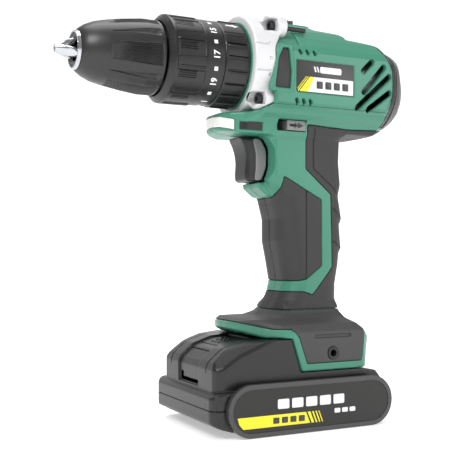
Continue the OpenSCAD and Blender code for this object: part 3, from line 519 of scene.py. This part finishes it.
def collar_body(x, y, z, extra):
    """The collar's band. Its rear edge swings back to the ears and its lower ends are cut off."""
    r = from_axis(y, z)
    swing = smooth_step(np.abs(z - AXIS), 5, 20)
    back = np.where(z > AXIS, -3.4 - 6.5 * swing, -3.4 + 1.2 * smooth_step(AXIS - z, 10, 24))
    band = both(both(r - 29.6 - extra, x - 9.6 - extra, 1.5), back - extra - x, 1.0)
    facet = 182.2 - extra + 0.5 * np.maximum(0, 6 - x) - z
    return both(either(band, lugs(x, y, z, extra), 2.0), facet, 0.8)


def lens_z(x, z):
    """Height along the lens, which rises towards the nose."""
    return z - 0.34 * np.maximum(0, x - 16.4)


def openings(x, y, z):
    """Everything cut through the green shells' skin."""
    skin = outer(x, y, z)
    cut = both(trigger_gap(x, z), -1 - y)
    cut = np.minimum(cut, block(x, y, z, (-24, -1, 142.6), (-5, 8.8, 169.5), 0.8))
    cut = np.minimum(cut, block(x, y, z, (-28.8, 17.3, 172.4), (-9.6, 60, 178.9), 0.6))
    lamp_recess = block(x, y, z, (-0.3, 15, 171.4), (13.9, 60, 176.2), 0.5)
    cut = np.minimum(cut, both(lamp_recess, -0.9 - skin))
    lens_slot = block(x, y, lens_z(x, z), (16.3, -5, 171.2), (40, 60, 177.4), 0.6)
    cut = np.minimum(cut, both(lens_slot, -2.0 - skin))
    cut = np.minimum(cut, block(x, y, z, (-36.4, -1, 236.6), (-16.6, 7.4, 260), 0.5))
    cut = np.minimum(cut, block(x, y, z, (-57.2, 29.0, 193.8), (-16.8, 60, 212.6), 0.5))
    cut = np.minimum(cut, both(insert_region(x, z), 28.4 - y))
    for first, height, step in ((-19.7, 217.1, -4.85), (-17.3, 188.6, -4.6)):
        for i in range(3):
            middle = first + step * i
            vent = slot2(x, z, (middle - 0.25, height - 0.5), (middle + 0.25, height + 0.5), 1.1)
            cut = np.minimum(cut, both(vent, 22 - y))
    for p, q in REAR_SLOTS:
        cut = np.minimum(cut, both(slot2(x, z, p, q, 1.75), 18 - y))
    cut = np.minimum(cut, block(x, y, z, (-58.5, -1, 20), (0, 24, 46.5), 0.5))
    cut = np.minimum(cut, both(np.hypot(x - CLIP_HOLE[0], z - CLIP_HOLE[1]) - 3.6, 20 - y))
    return cut


def rubber_area(x, z):
    covers = np.minimum(np.minimum(pad_region(x, z), rear_region(x, z)), foot_region(x, z))
    return np.minimum(covers, np.abs(z - 67) - 1.5)


def green_shell(x, y, z):
    a = np.abs(y)
    skin = outer(x, a, z)
    body = np.minimum(both(skin, 0.14 - rubber_area(x, z), 0.5), skin + RUBBER + 0.1)
    frame_edge = both(both(insert_frame(x, z), a - 30.3, 0.7), 27 - a)
    body = either(body, frame_edge, 0.5)
    body = either(body, block(x, a, z, (-38, -1, 234), (-14.5, 9.2, 238.5), 1.0), 0.4)
    step = np.maximum(np.maximum(-20.5 - x, 221.2 - z), -(barrel_front(a, z) + 1.5))
    body = less(body, step, 0.5)
    body = less(body, np.maximum(between(z, 186.2, 187.0), -0.5 - skin), 0.2)
    body = less(body, openings(x, a, z), 0.35)
    body = np.maximum(body, np.minimum(cap_split(z) + 0.1 - x, z - CAP_FLOOR))
    body = np.maximum(body, -np.maximum(skin + SHELL_WALL, 2.5 - trigger_gap(x, z)))
    body = np.maximum(body, -collar_body(x, a, z, 0.12))
    body = np.maximum(body, -np.maximum(from_axis(a, z) - 26.2, 9.2 - x))
    body = np.maximum(body, -np.maximum(from_axis(a, z) - GEARBOX_HOLE, np.abs(x) - 40))
    heads = None
    for sx, sz, sy in SCREWS:
        d = np.maximum(np.hypot(x - sx, z - sz) - SCREW_HOLE, y - sy)
        heads = d if heads is None else np.minimum(heads, d)
    return less(body, heads, 0.3)


def soft_skin(region):
    def f(x, y, z):
        a = np.abs(y)
        skin = outer(x, a, z)
        body = both(skin, region(x, z) + 0.12, 0.5)
        body = np.maximum(body, -(skin + RUBBER))
        groove = np.maximum(np.abs(x + 30.8) - 0.25, np.maximum(z - 140, 84 - z))
        for p, q in zip(BORDER, BORDER[1:]):
            groove = np.minimum(groove, slot2(x, z, p, q, 0.3))
        for gx, gz in ((-49.5, 128), (-49.5, 108.5)):
            groove = np.minimum(groove, slot2(x, z, (gx, gz), (gx - 12, gz - 8.5), 0.3))
        body = less(body, np.maximum(groove, -0.6 - skin), 0.25)
        body = np.maximum(body, -np.minimum(openings(x, a, z), block(x, a, z, (-30, 17, 170), (-9, 60, 181))))
        for sx, sz, sy in SCREWS:
            body = np.maximum(body, -np.maximum(np.hypot(x - sx, z - sz) - SCREW_HOLE, y - sy))
        return np.maximum(body, np.minimum(cap_split(z) + 0.1 - x, z - CAP_FLOOR))
    return f


def half_of(f, side):
    return lambda x, y, z: both(f(x, y, z), 0.03 - side * y, 0.08)


def grip_region(x, z):
    return np.minimum(pad_region(x, z), rear_region(x, z))


H = 0.7
for side, word in ((1, "left"), (-1, "right")):
    y0, y1 = (-1.0, 39.0) if side > 0 else (-39.0, 1.0)
    solid("shell_" + word, half_of(green_shell, side), (-94, y0, 31), (27, y1, 242.5), H, green, "housing",
          ["housing_" + word])
    solid("grip_skin_" + word, half_of(soft_skin(grip_region), side), (-100, y0, 65.5), (2, y1, 180), H,
          rubber, "housing", ["grip_" + word])


def cap(x, y, z):
    a = np.abs(y)
    skin = outer(x, a, z)
    rim = np.maximum(np.abs(x - cap_split(z) + 4.4) - 0.4, -0.8 - skin)
    body = both(skin, x - cap_split(z) + 0.12, 0.6)
    body = less(np.maximum(body, -(skin + CAP_WALL)), rim, 0.3)
    return np.maximum(body, CAP_FLOOR + 0.3 - z)


def foot_skin(x, y, z):
    a = np.abs(y)
    body = soft_skin(foot_region)(x, y, z)
    body = less(body, np.maximum(slot2(x, z, (-25.5, 52.8), (-48.5, 52.8), 0.9), 36.1 - a), 0.2)
    return np.maximum(body, -(np.hypot(x - CLIP_HOLE[0], z - CLIP_HOLE[1]) - 3.55))


solid("rear_bumper", cap, (-119, -33, 176), (-70, 34, 236), H, satin_black, "housing",
      ["rear_cap"])
solid("foot_skin", foot_skin, (-69, -39, 35), (20, 39, 72), H, strip_rubber, "housing",
      ["foot_cover"])


def collar(x, y, z):
    a = np.abs(y)
    body = collar_body(x, a, z, 0)
    body = np.maximum(body, GEARBOX_HOLE - from_axis(a, z))
    for up, _, _, seat in EARS:
        pocket = np.maximum(np.hypot(a - EAR_Y, z - AXIS - up) - 3.7, between(x, seat, seat + 7.5))
        open_side = np.maximum(both(np.abs(z - AXIS - up) - 3.6, 21.5 - a), between(x, seat, seat + 7.5))
        body = less(body, np.minimum(pocket, open_side), 0.6)
    rib = np.maximum(np.abs(np.abs(z - AXIS - 1.0) - 7.5) - 0.3, between(x, -0.5, 12))
    body = less(body, np.maximum(rib, 29.0 - from_axis(a, z)), 0.2)
    for dz in (-8.5, 0.5, 9.5):
        body = less(body, np.maximum(np.hypot(x + 0.2, z - AXIS - dz) - 0.8, 29.0 - from_axis(a, z)), 0.2)
    return body


solid("collar", collar, (-16, -31, 180), (11, 31, 242.5), min(H, 0.6), alloy, "housing",
      ["gear_cover"])



def collar_screws(x, y, z):
    """Button heads with a round socket, sunk in the collar's ears."""
    a, out = np.abs(y), None
    for up, _, _, seat in EARS:
        r = np.hypot(a - EAR_Y, z - AXIS - up)
        head = both(r - 3.0, between(x, seat + 0.1, seat + 3.2), 0.7)
        head = less(head, np.maximum(r - 1.5, seat + 1.6 - x), 0.15)
        head = np.minimum(head, np.maximum(r - 1.35, between(x, -28, seat + 0.5)))
        out = head if out is None else np.minimum(out, head)
    return out


solid("collar_screws", collar_screws, (-30, -25, 184), (6, 25, 237), 0.5, black_steel, "housing",
      ["gear_cover_screws"])

# ---------------------------------------------------------------- trigger


def trigger(x, y, z):
    a = np.abs(y)
    body = both(trigger_side(x, z), a - 8.1, 2.2)
    scoop = np.hypot(x - 27, z - 155) - 22.8
    return less(body, both(scoop, a - 30, 0.5), 1.2)


solid("trigger_body", trigger, (-9, -9, 141), (14, 9, 170), 0.55, black, "trigger",
      ["trigger"])


def inlay(x, y, z):
    a = np.abs(y)
    return both(both(inlay_side(x, z), a - 8.55, 0.9), 7.2 - a)


solid("trigger_inlay", inlay, (-11, -9.4, 141), (2, 9.4, 170), 0.5, grey, "trigger")

# ---------------------------------------------------------------- chuck and rings


def sleeve_relief(x, t):
    """Five ribbed panels with a tapering flute between them."""
    d = np.degrees(t)
    near = around(d, -6, 72)
    panel = bump(near, 16.5 - 0.1 * (x - 62), 1.2) * within(x, 61.6, 62.4, 89.6, 90.4)
    ribs = 0.30 * np.sin(np.radians(near) * 120) * (1 - smooth_step(x, 76, 90) * 0.7)
    width = 6.0 * (1 - smooth_step(x, 62, 92)) + 0.5
    flute = bump(around(d, 30, 72), width * 0.35, width * 0.7) * within(x, 62, 65, 88, 92)
    return panel * (-0.45 + ribs) - 1.3 * flute * (1 - 0.6 * (x - 62) / 30)


turned("sleeve", [[60.0, 19.2], [60.0, 20.2], [60.6, 20.9, 1], [69, 21.0, 1], [80, 19.55, 1],
                  [91.0, 17.55, 1], [91.8, 17.35], [96.5, 16.2], [101.5, 14.0], [104.4, 11.9], [105, 11.0],
                  [103.8, 10.95], [93, 15.2], [86.2, 15.2], [86.2, 16.75], [76, 16.75], [75, 19.2]],
       sleeve_relief, satin_black, "chuck_sleeve", ["chuck_sleeve"], sectors=720, step=0.6)


def torque_relief(x, t):
    """Ten finger pads, each with fine ribs and a ridge beside it."""
    d = np.degrees(t)
    near = around(d, 5, 36)
    grow = 2.5 * (x - 38) / 17.0
    pad = within(near, -9 - grow, -8.4 - grow, 7.6, 8.4) * within(x, 37.6, 38.2, 54.6, 55.6)
    ribs = bump((near + 5) % 2.7 - 1.35, 0.3, 0.45) * within(near, -2.6, -2.2, 7, 7.4)
    ridge = bump(near - 12.6, 0.7, 0.8) * within(x, 38, 38.8, 53.6, 54.6)
    return 0.75 * pad - 0.5 * ribs * within(x, 43, 43.6, 53.6, 54.2) + 0.8 * ridge


turned("torque_grip", [[26.1, 22.2], [26.1, 24.0], [26.5, 24.45, 1], [37.0, 24.45, 1], [38.0, 24.2, 1],
                       [54.6, 24.2, 1], [55.4, 24.9], [56.4, 24.8], [58.9, 22.2], [59.3, 21.6], [59.3, 21.3],
                       [53, 21.3], [53, 9], [50.6, 9], [50.6, 22.2]],
       torque_relief, black, "torque_ring", ["torque_ring"], sectors=900, step=0.5)


def mode_relief(x, t):
    """Grooves and ridges all round, but for a plain field under the arrow."""
    d = np.degrees(t)
    near = around(d, 0, 18)
    plain = bump(around(d, 52, 360), 13, 1.0)
    groove = bump(near, 0.7, 0.9) * within(x, 11.6, 12.2, 24.2, 24.8)
    ridge = bump(near + 2.6, 0.7, 0.8) * within(x, 12, 12.6, 23.6, 24.4)
    return (0.7 * ridge - 1.1 * groove) * (1 - plain)


turned("mode_grip", [[10.4, 21.6], [10.4, 24.0], [10.9, 24.5, 1], [25.2, 24.5, 1], [25.8, 24.1],
                     [25.8, 21.6]],
       mode_relief, black, "mode_ring", ["mode_ring"], sectors=900, step=0.5)
turned("collar_edge_ring", [[9.75, 22.4], [9.75, 25.7], [10.25, 25.5], [10.25, 22.4]],
       None, green, "housing", sectors=200)

SQUARE = [(-1.1, -1.1), (1.1, -1.1), (1.1, 1.1), (-1.1, 1.1)]
marks = []
for k in range(10):
    pts, faces = glyphs(str(2 * k + 1), 3.7)
    turn = 36 * (8 - k)
    marks.append((31.6, turn, pts, faces))
    marks.append((31.8, turn - 18, SQUARE, [[0, 1, 2, 3]]))
wrapped("dial_numbers", marks, 24.46, mark_white, "torque_ring")
ARROW = [(-0.75, 3.2), (-0.75, -1.6), (-2.0, -1.4), (0.2, -5.2), (1.9, -1.4), (0.75, -1.6), (0.75, 3.2)]
wrapped("mode_arrow", [(18.4, 54, [(-a, b) for a, b in ARROW], [[0, 6, 5, 4, 3, 2, 1]])], 24.52, mark_white,
        "mode_ring")

# ---------------------------------------------------------------- lens, inserts and labels


def lens_shape(x, y, z):
    a = np.abs(y)
    skin = outer(x, a, z)
    shape = both(skin - 0.05, block(x, a, lens_z(x, z), (16.45, -5, 171.35), (40, 60, 177.25), 0.5), 0.4)
    return np.maximum(shape, -(skin + 2.0))


solid("lamp_lens", lens_shape, (15, -19, 170), (26, 19, 182), 0.6, lens, "housing", ["led_lens"])


def recess_floor(x, y, z):
    a = np.abs(y)
    skin = outer(x, a, z)
    field = block(x, a, z, (-0.25, 12, 171.45), (13.85, 60, 176.15))
    return np.maximum(np.maximum(field, skin + 0.75), -(skin + 1.6))


solid("lamp_recess", recess_floor, (-2, -22, 170.5), (15, 22, 177.5), 0.5, black, "housing")
plates("side_inserts", [fillet([(-7.65, 217.9), (-11.5, 218.0), (-13.0, 205.1), (-12.3, 195.5), (-2.9, 195.5),
                                (-4.95, 211.8)], 0.8)], 27.9, 29.3, rubber, "housing", edge=0.5)
plates("label_panel", [tile(-57, -17, 194, 212.4, 0.5)], 28.5, 29.3, label_dark, "housing",
       stands_for=["side_labels"])
plates("label_lower", [[(-56.4, 194.4), (-24, 194.4), (-28.5, 203.2), (-56.4, 203.2)]],
       LABEL_FACE, 29.4, label_white, "housing")
plates("label_wedge", [[(-28.9, 203.2), (-26.0, 203.2), (-18.9, 194.4), (-24.4, 194.4)],
                       [(-25.2, 203.2), (-24.6, 203.2), (-17.9, 195.1), (-17.9, 194.4), (-18.1, 194.4)],
                       [(-23.8, 203.2), (-23.3, 203.2), (-17.5, 196.1), (-17.5, 195.5)]],
       LABEL_FACE, 29.42, label_yellow, "housing")
plates("label_mark", [tile(-33, -48, 205.9, 209.6, 1.2)] +
       [[(p, 206.2), (p - 1.0, 206.2), (p, 209.4), (p + 1.0, 209.4)] for p in (-29.6, -31.5)],
       LABEL_FACE, 29.42, label_white, "housing")
plates("label_bars", [tile(-30.5 - 6.0 * i, -34.9 - 6.0 * i, 196.6, 201.0, 0.8) for i in range(4)],
       29.36, 29.46, label_dark, "housing")
plates("lever_arrow", [[(-17.5, 175.0), (-23.2, 175.0), (-23.2, 173.9), (-27.2, 175.7), (-23.2, 177.5),
                        (-23.2, 176.4), (-17.5, 176.4)]],
       20.4, 20.56, black, "direction_lever")

# ---------------------------------------------------------------- battery

pack_side = Outline([(42.5, 21.8, 1), (38.8, 24.8, 1), (38.8, 36.5, 1.5), (37, 40.6, 2), (29, 47.2, 8),
                     (17, 51, 8), (3, 51.8, 6), (-9.9, 51.8), (-15.9, 32.8), (-58, 32.8), (-68, 31, 3),
                     (-73, 25, 6), (-73, 4, 8), (-64, 1, 4), (8, 1, 8), (20, 1.7, 8), (30, 3.4, 6),
                     (36, 5.2, 5), (42.5, 8.3, 3)], 0.8)
lower_plan = Outline([(42.5, -35.5, 3), (42.5, 35.5, 3), (40.6, 39, 3), (36, 40, 3), (-73, 40),
                      (-73, -40), (36, -40, 3), (40.6, -39, 3)], 2)
upper_plan = Outline([(38.8, -31.5, 1), (38.8, 31.5, 1), (37.2, 34.8, 1), (33.5, 36, 1), (-72, 36),
                      (-72, -36), (33.5, -36, 1), (37.2, -34.8, 1)], 1)
latch_side = Outline([(8.2, 34), (23.8, 34), (23.8, 47.6, 1), (18, 49.4, 6), (8.2, 50.8, 1)], 0.8)


def pack_body(x, y, z):
    a = np.abs(y)
    base = both(both(pack_side(x, z), lower_plan(x, y), 1.0), z - 25, 1.6)
    top = both(pack_side(x, z), upper_plan(x, y), 0.8)
    shoulder = np.interp(x, [3, 12.2, 24.6, 35, 40], [51.8, 48.2, 43.4, 37.1, 34])
    top = both(top, np.where(x > 0, 0.72 * (z - shoulder + a - 36), -9), 1.0)
    return either(base, top, 0.6)


def pack_shell(x, y, z):
    a = np.abs(y)
    skin = pack_body(x, y, z)
    body = np.maximum(skin, -(skin + PACK_WALL))
    tongue = block(x, a, z, (-50, -1, 31), (-14, 20, 41), 0.8)
    rails = block(x, a, z, (-50, 12, 37.6), (-14, 22, 41), 0.5)
    return np.minimum(np.minimum(body, tongue), rails)


def pack_upper(x, y, z):
    a = np.abs(y)
    skin = pack_body(x, y, z)
    body = pack_shell(x, y, z)
    well = np.maximum(block(x, a, z, (4.5, -1, 28), (27.5, 15, 48), 0.5), skin + 1.0)
    body = np.minimum(body, well)
    field = np.maximum(np.maximum(a - 13.6, 5.5 - x), np.maximum(-(pack_side(x, z) + 1.3), 26 - z))
    body = less(body, field, 0.4)
    edge_groove = np.maximum(np.abs(a - 24) - 0.35, np.maximum(-(skin + 0.5), np.maximum(4 - x, 34.5 - z)))
    body = less(body, edge_groove, 0.2)
    body = np.maximum(body, -block(x, a, z, (7.7, -1, 29.5), (24.3, 12.35, 60)))
    slot = block(x, y, z, (34, -12, 26.6), (60, 13.4, 28.4), 0.2)
    slot = np.minimum(slot, block(x, y, z, (34, -12, 26.6), (60, -8.6, 31.6), 0.2))
    body = less(body, slot, 0.2)
    for blade in (3.5, 10):
        body = np.maximum(body, -block(x, a, z, (-52, blade - 1.2, 33.5), (-39, blade + 1.2, 60)))
    return np.maximum(body, 15.6 - z)


def pack_lower(x, y, z):
    skin = pack_body(x, y, z)
    return both(np.maximum(skin, -(skin + PACK_WALL)), z - 15.45, 0.3)


def latch(x, y, z):
    a = np.abs(y)
    body = both(latch_side(x, z), a - 12, 0.7)
    for i in range(4):
        row = 11.2 + 3.1 * i
        top = np.interp(row, [8, 18, 24], [50.2, 48.8, 46.9])
        for j in (-1, 0, 1):
            dot = np.sqrt((x - row) ** 2 + (y - 4.2 * j) ** 2 + (z - top) ** 2) - 1.25
            body = either(body, dot, 0.25)
    return body


solid("pack_top", pack_upper, (-75, -42, 14), (44.5, 42, 54), H, black, "battery",
      ["battery_case_upper"])
solid("pack_base", pack_lower, (-75, -42, -1), (44.5, 42, 17), H, black, "battery",
      ["battery_case_lower"])
solid("latch_pad", latch, (6.5, -14, 32.5), (25.5, 14, 51.5), 0.5, black, "latch_button",
      ["latch_button"])
STRIPES = ((-15.9, -17.7, -20.3, -18.6), (-18.8, -19.8, -22.4, -21.4), (-21.0, -21.8, -24.4, -23.6),
           (-23.0, -23.6, -26.2, -25.6))
plates("pack_yellow", [[(28.5, 11.6), (-14.8, 11.6), (-17.5, 5.2), (25, 5.2), (27.5, 8)]] +
       [[(p, 11.6), (q, 11.6), (r, 5.2), (s, 5.2)] for p, q, r, s in STRIPES],
       PACK_FACE, 42.82, label_yellow, "battery")
plates("pack_white", [tile(3.5 - 9.2 * i, -3.9 - 9.2 * i, 14.6, 20.0, 0.9) for i in range(5)] +
       [tile(-34 - 5.2 * i, -38 - 5.2 * i, 9.4, 12.0, 0.7) for i in range(3)],
       PACK_FACE, 42.82, label_white, "battery")
plates("pack_dark", [tile(6.5 - 5.5 * i, 2.5 - 5.5 * i, 6.7, 10.1, 0.6) for i in range(4)],
       42.78, 42.9, label_dark, "battery")

# ---------------------------------------------------------------- carried-over nodes

NODE_FINISHES = (
    (black_steel, "housing_screws clip_inserts chuck_screw"),
    (black, "gearbox_case motor_end_bell switch_body terminal_block cooling_fan speed_selector"),
    (steel, "ring_gear_1 ring_gear_2 clutch_spring motor_can armature output_spindle carrier_1 chuck_nut "
            "planet_1a planet_1b planet_1c planet_2a planet_2b planet_2c"),
    (bright, "clutch_balls bearings motor_shaft nose_ring jaw_1 jaw_2 jaw_3"),
    (magnet, "motor_magnets"), (carbon, "carbon_brushes"), (board, "led_board battery_board"),
    (wire, "wiring"), (brass, "terminal_blades"), (copper, "windings commutator"),
    (satin_black, "chuck_body"), (grey, "direction_lever"), (cell_wrap, "battery_cells"),
    (pack_rim, "battery_end_plates"), (pack_label, "battery_labels"))
node_finish = {node: material for material, nodes in NODE_FINISHES for node in nodes.split()}
for name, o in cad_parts.items():
    if name not in node_finish:
        if not o.hide_render:
            raise RuntimeError("no finish for " + name)
        continue
    o.data.materials.clear()
    o.data.materials.append(node_finish[name])
for name, width in (("battery_end_plates", 0.9), ("direction_lever", 0.5), ("speed_selector", 0.4),
                    ("nose_ring", 0.25), ("chuck_body", 0.2), ("terminal_block", 0.3), ("switch_body", 0.5)):
    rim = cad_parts[name].modifiers.new("rounded_edges", "BEVEL")
    rim.width, rim.segments, rim.limit_method, rim.angle_limit = width / 1000, 3, "ANGLE", math.radians(35)
    rim.harden_normals = True

# ---------------------------------------------------------------- studio

VIEW = (-0.454, -0.891)  # the camera's level direction
PHOTO_WIDTH = 454

bpy.ops.mesh.primitive_grid_add(x_subdivisions=60, y_subdivisions=60, size=8, location=(0, 0, 0))
floor = bpy.context.object
floor.name = "studio_floor"
co = np.zeros(len(floor.data.vertices) * 3)
floor.data.vertices.foreach_get("co", co)
co = co.reshape(-1, 3)
back = np.maximum(0, co[:, 0] * VIEW[0] + co[:, 1] * VIEW[1] - 0.5)
co[:, 2] = -0.0004 + np.minimum(back ** 2 * 0.5, 4)
floor.data.vertices.foreach_set("co", co.ravel())
floor.data.polygons.foreach_set("use_smooth", np.ones(len(floor.data.polygons), bool))
paper = finish("paper", (0.94, 0.94, 0.94), 0.95, grain=0.0, vary=0.01, spread=0.02, patches=3)
paper_shader = paper.node_tree.nodes["Principled BSDF"]
paper_shader.inputs["Emission Color"].default_value = (1, 1, 1, 1)
paper_shader.inputs["Emission Strength"].default_value = 0.42
floor.data.materials.append(paper)

world = bpy.data.worlds.new("studio")
bpy.context.scene.world = world
world.use_nodes = True
world.node_tree.nodes["Background"].inputs["Color"].default_value = (1, 1, 1, 1)
world.node_tree.nodes["Background"].inputs["Strength"].default_value = 0.36


def lamp(name, place, aim, size, power):
    data = bpy.data.lights.new(name, "AREA")
    data.energy, data.size = power, size
    o = bpy.data.objects.new(name, data)
    bpy.context.scene.collection.objects.link(o)
    o.location = place
    o.rotation_euler = (Vector(aim) - Vector(place)).to_track_quat("-Z", "Y").to_euler()


lamp("key", (0.9, 0.9, 1.1), (0, 0, 0.15), 0.6, 15)
lamp("side", (-0.9, 0.9, 0.5), (0, 0, 0.15), 0.7, 4.5)
lamp("top", (0.0, -0.2, 1.3), (0, 0, 0.15), 0.9, 9)

camera_data = bpy.data.cameras.new("camera")
camera_data.lens, camera_data.sensor_width = 67.6, 36.0
camera_data.shift_y = 22 / PHOTO_WIDTH
camera_data.clip_start = 0.01
camera = bpy.data.objects.new("camera", camera_data)
bpy.context.scene.collection.objects.link(camera)
camera.location = (0.242, 0.449, 0.103)
camera.rotation_euler = Vector((*VIEW, 0)).to_track_quat("-Z", "Y").to_euler()
bpy.context.scene.camera = camera
bpy.context.scene.view_settings.view_transform = "Standard"

bpy.context.view_layer.update()
